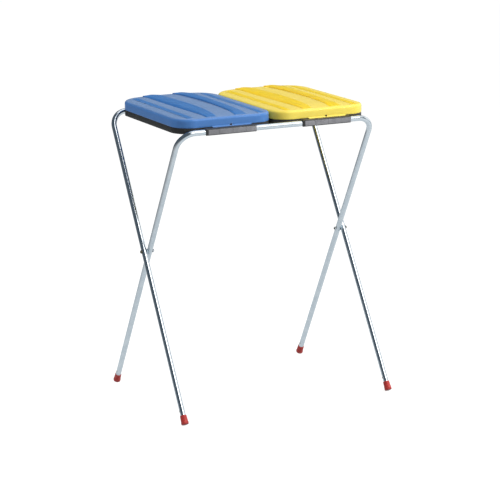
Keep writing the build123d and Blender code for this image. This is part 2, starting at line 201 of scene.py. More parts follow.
# moulded or rolled grain: fine and coarse noise on Object coordinates, as a height and a soft mask
def buildGrainGroup():
    group, source, sink = newGroup(
        "fineGrain",
        {"Scale": 900.0, "Coarse Scale": 60.0, "Coarse Share": 0.35},
        {"Height": "NodeSocketFloat", "Mask": "NodeSocketFloat"},
    )
    place = addNode(group, "ShaderNodeTexCoord").outputs["Object"]
    fine = noiseNode(group, place, source.outputs["Scale"], 3.0)
    coarse = noiseNode(group, place, source.outputs["Coarse Scale"], 2.0)
    height = mathNode(group, "MULTIPLY_ADD", coarse, source.outputs["Coarse Share"], fine)
    group.links.new(height, sink.inputs["Height"])
    group.links.new(rampNode(group, coarse, 0.38, 0.66), sink.inputs["Mask"])
    return group


# scattered hairline scratches: stretched noise cut to thin lines, thinned out by a coarse patch mask
def buildScratchGroup():
    group, source, sink = newGroup(
        "hairScratches",
        {"Across": 420.0, "Along": 9.0, "Width": 0.018, "Patches": 14.0},
        {"Mask": "NodeSocketFloat"},
    )
    place = addNode(group, "ShaderNodeTexCoord").outputs["Object"]
    across, along = source.outputs["Across"], source.outputs["Along"]
    stretch = addNode(group, "ShaderNodeCombineXYZ", X=across, Y=along, Z=across).outputs[0]
    scaled = addNode(group, "ShaderNodeVectorMath", {"operation": "MULTIPLY"}, i0=place, i1=stretch).outputs[0]
    centred = mathNode(group, "SUBTRACT", noiseNode(group, scaled, 1.0, 1.0), 0.5)
    line = mathNode(group, "LESS_THAN", mathNode(group, "ABSOLUTE", centred), source.outputs["Width"])
    kept = rampNode(group, noiseNode(group, place, source.outputs["Patches"], 2.0), 0.52, 0.7)
    group.links.new(mathNode(group, "MULTIPLY", line, kept), sink.inputs["Mask"])
    return group


# dust that settles on what faces upwards, broken up by noise
def buildDustGroup():
    group, source, sink = newGroup(
        "settledDust",
        {"Amount": 0.2, "Scale": 30.0},
        {"Mask": "NodeSocketFloat"},
    )
    place = addNode(group, "ShaderNodeTexCoord").outputs["Object"]
    normal = addNode(group, "ShaderNodeNewGeometry").outputs["Normal"]
    upright = addNode(group, "ShaderNodeSeparateXYZ", Vector=normal).outputs["Z"]
    upward = rampNode(group, upright, 0.35, 0.95)
    broken = rampNode(group, noiseNode(group, place, source.outputs["Scale"], 4.0), 0.42, 0.72)
    settled = mathNode(group, "MULTIPLY", upward, broken)
    group.links.new(mathNode(group, "MULTIPLY", settled, source.outputs["Amount"]), sink.inputs["Mask"])
    return group


# rubbed edges: 1 - the cosine between the surface's normal and that of a rounded edge, broken up by noise
def buildEdgeGroup():
    group, source, sink = newGroup(
        "rubbedEdges",
        {"Radius": 0.0009, "Scale": 140.0, "Low": 0.03, "High": 0.20},
        {"Mask": "NodeSocketFloat"},
    )
    rounded = addNode(group, "ShaderNodeBevel", {"samples": 6}, Radius=source.outputs["Radius"]).outputs[0]
    flat = addNode(group, "ShaderNodeNewGeometry").outputs["Normal"]
    dot = {"operation": "DOT_PRODUCT"}
    cosine = addNode(group, "ShaderNodeVectorMath", dot, i0=rounded, i1=flat).outputs["Value"]
    turned = mathNode(group, "SUBTRACT", 1.0, cosine)
    low, high = source.outputs["Low"], source.outputs["High"]
    edge = addNode(group, "ShaderNodeMapRange", Value=turned, From_Min=low, From_Max=high).outputs[0]
    place = addNode(group, "ShaderNodeTexCoord").outputs["Object"]
    kept = rampNode(group, noiseNode(group, place, source.outputs["Scale"], 3.0), 0.36, 0.62)
    group.links.new(mathNode(group, "MULTIPLY", edge, kept), sink.inputs["Mask"])
    return group


# ground patch round a cross-drilled hole: distance from the hole's line, which runs across the stand,
# made uneven by noise
def buildHoleGroup():
    group, source, sink = newGroup(
        "drilledPatch",
        {"Centre Y": 0.0, "Centre Z": 0.0, "Inner": 0.0034, "Outer": 0.0058},
        {"Mask": "NodeSocketFloat"},
    )
    place = addNode(group, "ShaderNodeTexCoord").outputs["Object"]
    apart = addNode(group, "ShaderNodeSeparateXYZ", Vector=place)
    y = mathNode(group, "SUBTRACT", apart.outputs["Y"], source.outputs["Centre Y"])
    z = mathNode(group, "SUBTRACT", apart.outputs["Z"], source.outputs["Centre Z"])
    squares = mathNode(group, "ADD", mathNode(group, "MULTIPLY", y, y), mathNode(group, "MULTIPLY", z, z))
    distance = mathNode(group, "SQRT", squares)
    away = mathNode(group, "MULTIPLY_ADD", noiseNode(group, place, 500.0, 2.0), 0.0016, distance)
    inner, outer = source.outputs["Inner"], source.outputs["Outer"]
    patch = addNode(group, "ShaderNodeMapRange", Value=away, From_Min=outer, From_Max=inner).outputs[0]
    group.links.new(patch, sink.inputs["Mask"])
    return group


grainGroup, scratchGroup, dustGroup = buildGrainGroup(), buildScratchGroup(), buildDustGroup()
edgeGroup, holeGroup = buildEdgeGroup(), buildHoleGroup()


# a shared effect in a material, with its named inputs set
def placeGroup(tree, group, **values):
    node = tree.nodes.new("ShaderNodeGroup")
    node.node_tree = group
    for key, value in values.items():
        node.inputs[key.replace("_", " ")].default_value = value
    return node


# a material with its tree and its Principled BSDF
def newMaterial(name):
    material = bpy.data.materials.new(name)
    material.use_nodes = True
    tree = material.node_tree
    return material, tree, tree.nodes["Principled BSDF"]


# colour, roughness and bump into the shader
def finishMaterial(tree, shader, colour, rough, height, strength, distance):
    bump = addNode(tree, "ShaderNodeBump", Height=height, Strength=strength, Distance=distance)
    tree.links.new(colour, shader.inputs["Base Color"])
    tree.links.new(rough, shader.inputs["Roughness"])
    tree.links.new(bump.outputs["Normal"], shader.inputs["Normal"])


# moulded plastic: an uneven tone, then scratches, rubbed edges and dust, each a share of the pale colour;
# roughness = its base + shares of the tone's mask and the dust
def plasticMaterial(name, look):
    material, tree, shader = newMaterial(name)
    grain = placeGroup(tree, grainGroup, Scale=look["grainScale"], Coarse_Scale=look["toneScale"])
    scratch = placeGroup(tree, scratchGroup, Across=look["scratchAcross"], Patches=look["scratchPatches"])
    edges = placeGroup(tree, edgeGroup, Radius=look["edgeRadius"])
    dust = placeGroup(tree, dustGroup, Amount=look["dust"])
    colour = mixColour(tree, grain.outputs["Mask"], look["colour"], look["worn"])
    for wear, share in ((scratch, look["scratch"]), (edges, look["edgeWear"])):
        amount = mathNode(tree, "MULTIPLY", wear.outputs["Mask"], share)
        colour = mixColour(tree, amount, colour, look["pale"])
    colour = mixColour(tree, dust.outputs["Mask"], colour, look["pale"])
    rough = mathNode(tree, "MULTIPLY_ADD", grain.outputs["Mask"], look["roughSpread"], look["rough"])
    rough = mathNode(tree, "MULTIPLY_ADD", dust.outputs["Mask"], look["dustRough"], rough)
    finishMaterial(tree, shader, colour, rough, grain.outputs["Height"], look["bump"], look["bumpDistance"])
    return material


# plated steel: faint milky spangle, drawing lines along the tube, handling marks and dust;
# roughness = its base + shares of the lines, the scratches and the ground patch
def zincMaterial(name, look):
    material, tree, shader = newMaterial(name)
    turned = addNode(
        tree, "ShaderNodeMapping", Vector=addNode(tree, "ShaderNodeTexCoord").outputs["Object"],
        Rotation=(math.radians(look["leanDeg"]), 0, 0),
        Scale=(look["lineScale"], look["lineScale"], look["lineScale"] * look["lineStretch"]),
    )
    lines = noiseNode(tree, turned.outputs[0], 1.0, 3.0)
    grain = placeGroup(tree, grainGroup, Scale=look["grainScale"], Coarse_Scale=look["spangleScale"])
    scratch = placeGroup(tree, scratchGroup, Across=300.0, Along=40.0, Patches=9.0)
    dust = placeGroup(tree, dustGroup, Amount=look["dust"])
    colour = mixColour(tree, grain.outputs["Mask"], look["colour"], look["milky"])
    streaks = mathNode(tree, "MULTIPLY", rampNode(tree, lines, 0.35, 0.7), look["streaks"])
    colour = mixColour(tree, streaks, colour, look["shade"])
    colour = mixColour(tree, dust.outputs["Mask"], colour, look["milky"])
    rough = mathNode(tree, "MULTIPLY_ADD", lines, look["roughSpread"], look["rough"])
    rough = mathNode(tree, "MULTIPLY_ADD", scratch.outputs["Mask"], look["scratchRough"], rough)
    if "hole" in look:
        y, z = look["hole"]
        patch = placeGroup(tree, holeGroup, Centre_Y=y, Centre_Z=z).outputs["Mask"]
        colour = mixColour(tree, patch, colour, look["ground"])
        rough = mathNode(tree, "MULTIPLY_ADD", patch, look["groundRough"], rough)
    height = mathNode(tree, "MULTIPLY_ADD", lines, look["lineHeight"], grain.outputs["Height"])
    finishMaterial(tree, shader, colour, rough, height, look["bump"], look["bumpDistance"])
    shader.inputs["Metallic"].default_value = 1.0
    return material


# lid plastic: matt lands and smoother bands with fine ribs, both given by attributes of the surface, in tones
# of one
# plastic: the land's paler tone is partly its matt finish and partly painted sheen, the side tone is painted
# light and shade on the skirts, and the deeper tone on the bands' plain slopes is painted shade; height =
# grain, fading where it is smooth, + a sine across the lid on the bands beside their plain slope
def lidMaterial(name, look):
    material, tree, shader = newMaterial(name)
    band, shadedWedge, side, across = (
        addNode(tree, "ShaderNodeAttribute", {"attribute_name": label}).outputs["Fac"]
        for label in ("bandShare", "shadedWedgeShare", "sideShare", "acrossLid")
    )
    grain = placeGroup(tree, grainGroup, Scale=look["grainScale"], Coarse_Scale=look["toneScale"])
    scratch = placeGroup(
        tree, scratchGroup, Across=look["scratchAcross"], Along=look["scratchAlong"],
        Width=look["scratchWidth"], Patches=look["scratchPatches"],
    )
    dust = placeGroup(tree, dustGroup, Amount=look["dust"], Scale=look["dustScale"])
    # land and band are one plastic: the land's paler tone is partly painted sheen
    colour = mixColour(tree, band, look["land"], look["band"])
    # painted shade: a deeper tone on each band's plain rising slope
    colour = mixColour(tree, shadedWedge, colour, look["shadedWedge"])
    # painted light and shade: the skirts, lip and hinge eyes get their own tone
    colour = mixColour(tree, side, colour, look["side"])
    uneven = mathNode(tree, "MULTIPLY", grain.outputs["Mask"], look["uneven"])
    colour = mixColour(tree, uneven, colour, look["deep"])
    marks = mathNode(tree, "MULTIPLY", scratch.outputs["Mask"], look["scratch"])
    colour = mixColour(tree, marks, colour, look["pale"])
    colour = mixColour(tree, dust.outputs["Mask"], colour, look["pale"])
    smooth = mathNode(tree, "MAXIMUM", band, side)
    rough = mathNode(tree, "MULTIPLY_ADD", smooth, look["bandRough"] - look["landRough"], look["landRough"])
    rough = mathNode(tree, "MULTIPLY_ADD", side, look["sideRough"] - look["bandRough"], rough)
    rough = mathNode(tree, "MULTIPLY_ADD", grain.outputs["Mask"], look["roughSpread"], rough)
    ribs = mathNode(tree, "SINE", mathNode(tree, "MULTIPLY", across, 2 * math.pi / look["ribPitch"]))
    ribbed = mathNode(tree, "SUBTRACT", band, shadedWedge, clamp=True)
    ribs = mathNode(tree, "MULTIPLY", ribs, mathNode(tree, "MULTIPLY", ribbed, look["ribHeight"]))
    fading = mathNode(tree, "SUBTRACT", 1.1, smooth)
    coarse = mathNode(tree, "MULTIPLY", grain.outputs["Height"], fading)
    height = mathNode(tree, "MULTIPLY_ADD", coarse, look["grainHeight"], ribs)
    finishMaterial(tree, shader, colour, rough, height, 1.0, 1.0)
    shader.inputs["Specular IOR Level"].default_value = look["specular"]
    return material


plasticLook = {"dustRough": 0.4, "bumpDistance": 0.0004}
zincLook = {
    "streaks": 0.35, "lineStretch": 0.02, "lineHeight": 0.6, "scratchRough": 0.12, "bumpDistance": 0.00015,
    "dust": 0.05,
}
tubeLook = {
    **zincLook,
    "colour": (0.70, 0.75, 0.79, 1), "milky": (0.78, 0.82, 0.85, 1), "shade": (0.52, 0.58, 0.63, 1),
    "ground": (0.66, 0.66, 0.60, 1), "groundRough": 0.35, "rough": 0.10, "roughSpread": 0.10,
    "grainScale": 1100.0, "spangleScale": 45.0, "lineScale": 900.0, "bump": 0.05,
}
smallSteelLook = {
    **zincLook,
    "roughSpread": 0.16, "grainScale": 1800.0, "spangleScale": 220.0, "lineScale": 1500.0,
    "leanDeg": 0.0, "bump": 0.15,
}
lidLook = {
    "landRough": 0.50, "bandRough": 0.30, "sideRough": 0.19, "roughSpread": 0.06, "specular": 0.38,
    "grainScale": 1300.0, "toneScale": 35.0, "grainHeight": 0.00002, "uneven": 0.07,
    "ribPitch": 0.0044, "ribHeight": 0.00006, "dust": 0.05, "dustScale": 22.0,
    "scratch": 0.15, "scratchAcross": 260.0, "scratchAlong": 30.0, "scratchWidth": 0.012,
    "scratchPatches": 7.0,
}
looks = {
    "redCap": {
        **plasticLook,
        "colour": (0.46, 0.034, 0.028, 1), "worn": (0.40, 0.028, 0.024, 1), "pale": (0.72, 0.45, 0.40, 1),
        "rough": 0.34, "roughSpread": 0.10, "grainScale": 1500.0, "toneScale": 90.0, "bump": 0.15,
        "scratch": 0.5, "scratchAcross": 500.0, "scratchPatches": 60.0, "dust": 0.12,
        "edgeRadius": 0.0008, "edgeWear": 0.35,
    },
    "blackRing": {
        **plasticLook,
        "colour": (0.020, 0.020, 0.021, 1), "worn": (0.030, 0.030, 0.029, 1), "pale": (0.20, 0.20, 0.19, 1),
        "rough": 0.42, "roughSpread": 0.12, "grainScale": 1300.0, "toneScale": 40.0, "bump": 0.22,
        "scratch": 0.35, "scratchAcross": 380.0, "scratchPatches": 12.0, "dust": 0.10,
        "edgeRadius": 0.0009, "edgeWear": 0.30,
    },
    "greyStrip": {
        **plasticLook,
        "colour": (0.225, 0.225, 0.240, 1), "worn": (0.19, 0.19, 0.205, 1), "pale": (0.55, 0.55, 0.56, 1),
        "rough": 0.46, "roughSpread": 0.10, "grainScale": 1500.0, "toneScale": 55.0, "bump": 0.15,
        "scratch": 0.4, "scratchAcross": 420.0, "scratchPatches": 30.0, "dust": 0.08,
        "edgeRadius": 0.0006, "edgeWear": 0.40,
    },
    "paleSpacer": {
        **plasticLook,
        "colour": (0.42, 0.54, 0.62, 1), "worn": (0.36, 0.47, 0.55, 1), "pale": (0.75, 0.80, 0.82, 1),
        "rough": 0.40, "roughSpread": 0.10, "grainScale": 1500.0, "toneScale": 120.0, "bump": 0.12,
        "scratch": 0.3, "scratchAcross": 500.0, "scratchPatches": 80.0, "dust": 0.05,
        "edgeRadius": 0.0005, "edgeWear": 0.30,
    },
    "zincOuter": {**tubeLook, "leanDeg": 29.6, "hole": (-0.26563, 0.04241)},
    "zincInner": {**tubeLook, "leanDeg": -29.6, "hole": (0.26563, 0.04241)},
    "darkBolt": {
        **smallSteelLook, "rough": 0.26,
        "colour": (0.16, 0.15, 0.10, 1), "milky": (0.22, 0.21, 0.15, 1), "shade": (0.08, 0.075, 0.05, 1),
    },
    "zincNut": {
        **smallSteelLook, "rough": 0.22,
        "colour": (0.60, 0.63, 0.66, 1), "milky": (0.70, 0.72, 0.74, 1), "shade": (0.40, 0.43, 0.46, 1),
    },
    "blueLid": {
        **lidLook,
        # the land's paler tone is partly painted sheen; the side tone is painted light and shade on the skirts
        "land": (0.150, 0.245, 0.43, 1), "band": (0.050, 0.182, 0.47, 1), "side": (0.070, 0.200, 0.50, 1),
        # the wedge colour is painted shade on the bands' plain slopes
        "shadedWedge": (0.010, 0.118, 0.39, 1), "deep": (0.020, 0.090, 0.30, 1), "pale": (0.42, 0.50, 0.64, 1),
    },
    "yellowLid": {
        **lidLook,
        # the land's paler tone is partly painted sheen; the side tone is painted light and shade on the skirts
        "land": (0.76, 0.60, 0.11, 1), "band": (0.86, 0.61, 0.010, 1), "side": (0.84, 0.68, 0.110, 1),
        # the wedge colour is painted shade on the bands' plain slopes
        "shadedWedge": (0.86, 0.56, 0.0005, 1), "deep": (0.72, 0.44, 0.005, 1), "pale": (0.86, 0.80, 0.50, 1),
    },
}
makers = [
    (plasticMaterial, ("redCap", "blackRing", "greyStrip", "paleSpacer")),
    (zincMaterial, ("zincOuter", "zincInner", "darkBolt", "zincNut")),
    (lidMaterial, ("blueLid", "yellowLid")),
]
materials = {key: maker(key, looks[key]) for maker, keys in makers for key in keys}

nodeMaterial = {
    "outer_frame": "zincOuter", "inner_frame": "zincInner", "front_cap": "redCap", "rear_cap": "redCap",
    "pivot_bolt": "darkBolt", "pivot_nut": "zincNut", "pivot_spacer": "paleSpacer",
    "bag_ring": "blackRing", "front_strip": "greyStrip", "lid_pin_a": "zincNut", "lid_pin_b": "zincNut",
}
for nodeName, node in nodes.items():
    for ending, key in nodeMaterial.items():
        if nodeName.endswith(ending):
            node.data.materials.clear()
            node.data.materials.append(materials[key])
print("materials on the CAD nodes:", len(materials))

# lids; a wide band's wave gives its height at distances from its left edge, its tail that at its right edge,
# and its wedge the width of the plain slope beside the ribs, which carries painted shade, at the ends and at
# the middle
lidShape = {
    "width": 0.342, "front": 0.016, "rear": 0.471959, "corner": 0.062, "skirtBottom": 0.0125, "top": 0.0405,
    "crown": 0.0055, "edge": 0.009, "wall": 0.0022, "step": 0.0004, "bandGap": 0.003,
    "bandFront": 0.0105, "bandRear": 0.016, "fallDeg": 0.4, "flare": 0.009, "flareLength": 0.030,
    "frontDrop": 0.78, "frontDropLength": 0.070,
    "narrow": {"offset": 0.125, "width": 0.020, "rise": 0.0012, "front": 0.0135, "rear": 0.032},
    "wide": [
        {"left": (-0.070, -0.081, -0.082), "right": (-0.036, -0.013, -0.030)},
        {"left": (0.029, 0.0455, 0.027), "right": (0.071, 0.0905, 0.090)},
    ],
    "wave": [(0.0, 0.0020), (0.011, 0.0047), (0.024, 0.0052), (0.056, 0.0016)], "tail": 0.0008,
    "rearStep": 0.0024, "leastRise": 0.0003, "shadedWedge": (0.005, 0.020), "shadedWedgeFade": 0.8,
    "cornerRows": 26, "straightRows": 60, "columns": {"land": 7, "narrow": 6, "wide": 30},
    "roundSteps": 8, "skirtShares": (0.25, 0.5, 0.75, 0.94, 1.0), "sideSteps": 4, "rimIn": 0.0005,
}


# u of a band's edge at s: the circle arc through its three places, taken as the parabola through them
def bandEdge(three, s, front, rear):
    t = (s - front) / (rear - front)
    a, b, c = three
    return a * (1 - t) * (1 - 2 * t) + 4 * b * t * (1 - t) + c * t * (2 * t - 1)


# the lid's top is a grid over its inset outline: rows run across at fixed s and are as wide as the rounded
# outline there, columns follow the long edges of the bands, and a column pair at each edge makes its step.
# height = crown parabola, fading towards the front, + the wave of the band that the point lies on
def buildLid(name, centre, body, material, nodeName):
    d = lidShape
    edge, halfWidth, corner = d["edge"], d["width"] / 2 - d["edge"], d["corner"] - d["edge"]
    sFront, sRear = d["front"] + edge, d["rear"] - edge
    bandFront, bandRear = d["front"] + d["bandFront"], d["rear"] - d["bandRear"]
    narrow, step = d["narrow"], d["step"]
    narrowFront, narrowRear = d["front"] + narrow["front"], d["rear"] - narrow["rear"]
    turn = 1 - np.cos(np.linspace(0, math.pi / 2, d["cornerRows"]))
    rows = np.concatenate([
        sFront + corner * turn, sRear - corner * turn,
        np.linspace(sFront + corner, sRear - corner, d["straightRows"]),
        [bandFront - step, bandFront + step, bandRear - step, bandRear + step],
        [narrowFront - step, narrowFront + step, narrowRear - step, narrowRear + step],
    ])
    rows = np.unique(np.round(rows, 6))
    inCorner = np.clip(np.maximum(sFront + corner - rows, rows - (sRear - corner)), 0, corner)
    reach = halfWidth - corner + np.sqrt(corner ** 2 - inCorner ** 2)
    held = np.clip(rows, bandFront, bandRear)
    flareShare = np.clip((held - bandRear) / d["flareLength"] + 1, 0, 1) ** 2
    flare = d["flare"] * flareShare

    # u of every long edge at every row, kept in order inside the outline
    sides = [narrow["offset"] - narrow["width"] / 2, narrow["offset"] + narrow["width"] / 2]
    lines = [-reach, np.full_like(rows, -sides[1]), np.full_like(rows, -sides[0])]
    for wide in d["wide"]:
        lines.append(bandEdge(wide["left"], held, bandFront, bandRear) - flare)
        lines.append(bandEdge(wide["right"], held, bandFront, bandRear))
    lines += [np.full_like(rows, sides[0]), np.full_like(rows, sides[1]), reach]
    kinds = ["land", "narrow", "land", "wide", "land", "wide", "land", "narrow", "land"]
    room = d["bandGap"] * np.arange(len(lines))
    lines = [np.clip(line, room[i] - reach, reach - room[-1 - i]) for i, line in enumerate(lines)]

    columns, columnKinds, wideIndex = [], [], -1
    for place, kind in enumerate(kinds):
        count = d["columns"][kind]
        wideIndex += kind == "wide"
        low = lines[place] + (step if place else 0)
        high = lines[place + 1] - (step if place < len(kinds) - 1 else 0)
        columns.append(low[:, None] + (high - low)[:, None] * np.linspace(0, 1, count))
        columnKinds += [(kind, wideIndex)] * count
    u = np.concatenate(columns, axis=1)
    s = np.broadcast_to(rows[:, None], u.shape)
    toFront = np.clip(1 - (rows - sFront) / d["frontDropLength"], 0, 1)
    crown = d["crown"] * (1 - (u / (d["width"] / 2)) ** 2) * (1 - d["frontDrop"] * toFront ** 2)[:, None]
    fall = (d["rear"] - rows) * math.tan(math.radians(d["fallDeg"]))
    onWide = (rows > bandFront) & (rows < bandRear)
    onNarrow = (rows > narrowFront) & (rows < narrowRear)
    rise, share, shadedWedge = np.zeros_like(u), np.zeros_like(u), np.zeros_like(u)
    midway = np.sin(math.pi * (held - bandFront) / (bandRear - bandFront))
    shadedWedgeWidth = d["shadedWedge"][0] + (d["shadedWedge"][1] - d["shadedWedge"][0]) * midway
    for column, (kind, which) in enumerate(columnKinds):
        if kind == "narrow":
            rise[:, column] = narrow["rise"] * onNarrow
            share[:, column] = onNarrow
        elif kind == "wide":
            wide = d["wide"][which]
            start, end = min(wide["left"]), max(wide["right"])
            wave = d["wave"] + [(end - start, d["tail"])]
            along = np.clip(u[:, column] - start, 0, end - start)
            height = splineThrough([w[0] for w in wave], [w[1] for w in wave], along)
            height = height + d["rearStep"] * flareShare * np.clip(1 - along / wave[1][0], 0, 1)
            rise[:, column] = np.maximum(height - fall, d["leastRise"]) * onWide
            share[:, column] = onWide
            foot = u[:, columnKinds.index((kind, which))]
            nearness = np.clip(1 - (u[:, column] - foot) / shadedWedgeWidth, 0, 1)
            # mask of the painted shade on the band's plain slope, fading away from its foot
            shadedWedge[:, column] = onWide * nearness ** d["shadedWedgeFade"]
    top = d["top"] + crown + rise

    index = np.arange(u.size).reshape(u.shape)
    loop = np.concatenate([index[0, :-1], index[:-1, -1], index[-1, :0:-1], index[:0:-1, 0]])
    loopU, loopS, loopH = u.ravel()[loop], s.ravel()[loop], top.ravel()[loop]
    coreU = np.clip(loopU, -(halfWidth - corner), halfWidth - corner)
    coreS = np.clip(loopS, sFront + corner, sRear - corner)
    outU, outS = loopU - coreU, loopS - coreS
    length = np.hypot(outU, outS)
    outU, outS = outU / length, outS / length

    # one skin: the grid, then a quarter round of the edge radius, then the straight skirt, of which the outer
    # one ends a little inwards
    def skin(drop, radius):
        angles = np.linspace(0, math.pi / 2, d["roundSteps"])[1:]
        rings = [(radius * math.sin(a), loopH - drop - radius * (1 - math.cos(a))) for a in angles]
        skirtTop = rings[-1][1]
        for t in d["skirtShares"]:
            inset = d["rimIn"] if t == 1.0 and not drop else 0.0
            rings.append((radius - inset, skirtTop * (1 - t) + d["skirtBottom"] * t))
        us = [u.ravel()] + [loopU + outU * out for out, h in rings]
        ss = [s.ravel()] + [loopS + outS * out for out, h in rings]
        hs = [(top - drop).ravel()] + [h for out, h in rings]
        shares = np.minimum(1.0, np.arange(1, len(rings) + 1) / d["sideSteps"])
        sideShare = np.concatenate([np.zeros(u.size), np.repeat(shares, len(loop))])
        ringIndex = [loop] + [u.size + i * len(loop) + np.arange(len(loop)) for i in range(len(rings))]
        return np.concatenate(us), np.concatenate(ss), np.concatenate(hs), sideShare, np.array(ringIndex)

    outer, inner = skin(0.0, edge), skin(d["wall"], edge - d["wall"])
    offset = len(outer[0])
    outerRings, innerRings = closeRows(outer[4]), closeRows(inner[4]) + offset
    rim = np.stack([outerRings[-1], innerRings[-1]])
    quads = np.concatenate([
        gridQuads(index), gridQuads(outerRings, flip=True), gridQuads(index + offset, flip=True),
        gridQuads(innerRings), gridQuads(rim, flip=True),
    ])
    points = fromRingPlane(centre, *[np.concatenate([outer[i], inner[i]]) for i in range(3)])
    piece = makePiece(name, points, quads, body, material)
    padding = len(points) - u.size
    writeLayers(piece, {
        "bandShare": np.concatenate([share.ravel(), np.zeros(padding)]),
        "shadedWedgeShare": np.concatenate([shadedWedge.ravel(), np.zeros(padding)]),
        "sideShare": np.concatenate([outer[3], np.ones(offset)]),
        "acrossLid": np.concatenate([outer[0], inner[0]]),
    })
    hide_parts(nodeName)
    return piece


# the lip's ends are given as shares of its half width, each with how far the profile shrinks there
gripLip = {
    "offset": 0.014, "rootHalf": 0.0715, "tipHalf": 0.0655, "rootTop": 0.0152, "tipTop": 0.0108,
    "bottom": 0.0086, "proud": 0.0032, "sunk": 0.0010, "round": 0.0004,
    "sections": 40, "straight": 0.98, "ends": ((1.0, 0.00045), (0.994, 0.0001)),
}


# the lip is its rounded profile carried across the lid; its ends are cut back more towards the tip, so
# half width at a height = tip half width + share of the height between bottom and root top
def buildLip(name, centre, body, material):
    d, front = gripLip, lidShape["front"]
    root, tip = front + d["sunk"], front - d["proud"]
    profile = roundProfile([
        (root, d["rootTop"]), (front, d["rootTop"]), (tip, d["tipTop"]), (tip, d["bottom"]),
        (root, d["bottom"]),
    ], d["round"])
    ends = np.array(d["ends"])
    straight = np.linspace(-d["straight"], d["straight"], d["sections"])
    across = np.concatenate([-ends[:, 0], straight, ends[::-1, 0]])
    shrink = np.concatenate([ends[:, 1], np.zeros(d["sections"]), ends[::-1, 1]])
    pull = profile - profile.mean(axis=0)
    pull /= np.linalg.norm(pull, axis=1, keepdims=True)
    ring = profile - pull * shrink[:, None, None]
    share = (ring[..., 1] - d["bottom"]) / (d["rootTop"] - d["bottom"])
    half = d["tipHalf"] + (d["rootHalf"] - d["tipHalf"]) * share
    u = d["offset"] + across[:, None] * half
    points = fromRingPlane(centre, u, ring[..., 0], ring[..., 1])
    index = np.arange(u.size).reshape(u.shape)
    return makePiece(name, points, rodFaces(index), body, material)


hingeEye = {
    "places": (-0.085, 0.085), "width": 0.015, "pinS": 0.479959, "pinH": 0.017, "radius": 0.0044,
    "bore": 0.00256, "web": 0.0041, "rootS": 0.4709, "round": 0.0005, "sides": 72,
}


# an eye is a plate with a bore. Outline and bore points share their angles about the pin: outline radius =
# the larger of the eye's own radius and the ray's way out of the web. Loops of such points close round it
def buildEye(name, centre, place, body, material):
    d = hingeEye
    angles = np.linspace(-math.pi, math.pi, d["sides"], endpoint=False)
    outS, outH = np.cos(angles), np.sin(angles)
    webLength = d["pinS"] - d["rootS"]
    toSide = d["web"] / np.maximum(np.abs(outH), 1e-6)
    toRoot = webLength / np.maximum(-outS, 1e-6)
    reachOut = np.where(outS < 0, np.maximum(np.minimum(toSide, toRoot), d["radius"]), d["radius"])
    half, bore = d["width"] / 2, np.full_like(angles, d["bore"])
    loops = [(half - d["round"], reachOut), (half, reachOut - d["round"]), (half, bore)]
    loops = [(-w, r) for w, r in loops] + [(w, r) for w, r in loops[::-1]]
    across = np.array([w for w, r in loops])[:, None]
    radius = np.stack([r for w, r in loops])
    points = fromRingPlane(centre, place + across, d["pinS"] + radius * outS, d["pinH"] + radius * outH)
    index = np.arange(radius.size).reshape(radius.shape)
    return makePiece(name, points, hoopFaces(index, flip=True), body, material)


lockHole = {
    "offset": 0.0110, "height": 0.0150, "width": 0.0080, "tall": 0.0056, "from": 0.008, "to": 0.0189,
    "sides": 32,
}


# the hole is cut with an oval cutter whose ends are closed, square to the skirt
def drillHole(piece, centre):
    d = lockHole
    angles = np.linspace(0, 2 * math.pi, d["sides"], endpoint=False)
    s = np.array([d["from"], d["to"]])[:, None]
    u = d["offset"] + d["width"] / 2 * np.cos(angles)
    h = d["height"] + d["tall"] / 2 * np.sin(angles)
    points = fromRingPlane(centre, u[None], s, h[None]).reshape(-1, 3)
    index = np.arange(2 * d["sides"]).reshape(2, -1)
    mesh = bpy.data.meshes.new("drill")
    mesh.from_pydata(points.tolist(), [], rodFaces(index))
    drill = bpy.data.objects.new("drill", mesh)
    scene.collection.objects.link(drill)
    cut = piece.modifiers.new("lockHole", "BOOLEAN")
    cut.operation, cut.solver, cut.object = "DIFFERENCE", "EXACT", drill
    drilled = bpy.data.meshes.new_from_object(piece.evaluated_get(bpy.context.evaluated_depsgraph_get()))
    piece.modifiers.clear()
    piece.data = drilled
    bpy.data.objects.remove(drill)


lidPlans = {
    "blueLidShell": (-ringPlane["ringCentre"], "left_lid_body", "blue_lid", "blueLid", "left_lid"),
    "yellowLidShell": (ringPlane["ringCentre"], "right_lid_body", "yellow_lid", "yellowLid", "right_lid"),
}
for pieceName, (centre, body, slotName, materialName, nodeName) in lidPlans.items():
    colour, material = pieceName.replace("LidShell", ""), materials[materialName]
    lidPiece = buildLid(pieceName, centre, body, material, nodeName)
    lipPiece = buildLip(colour + "GripLip", centre, body, material)
    writeLayers(lipPiece, {"sideShare": np.ones(len(lipPiece.data.vertices))})
    for drilled in (lidPiece, lipPiece):
        drillHole(drilled, centre)
    for letter, place in zip("AB", hingeEye["places"]):
        eye = buildEye(colour + "HingeEye" + letter, centre, place, body, material)
        writeLayers(eye, {"sideShare": np.ones(len(eye.data.vertices))})
    print("lid:", pieceName, len(lidPiece.data.polygons), "faces")

# bag rings: the lower wall that stands flush under the lid's skirt
ringWall = {
    "inset": 0.0004, "rear": 0.4650, "rearCorner": 0.054, "bottom": -0.0063, "top": 0.0122,
    "wall": 0.0031, "round": 0.0006, "steps": 18,
}


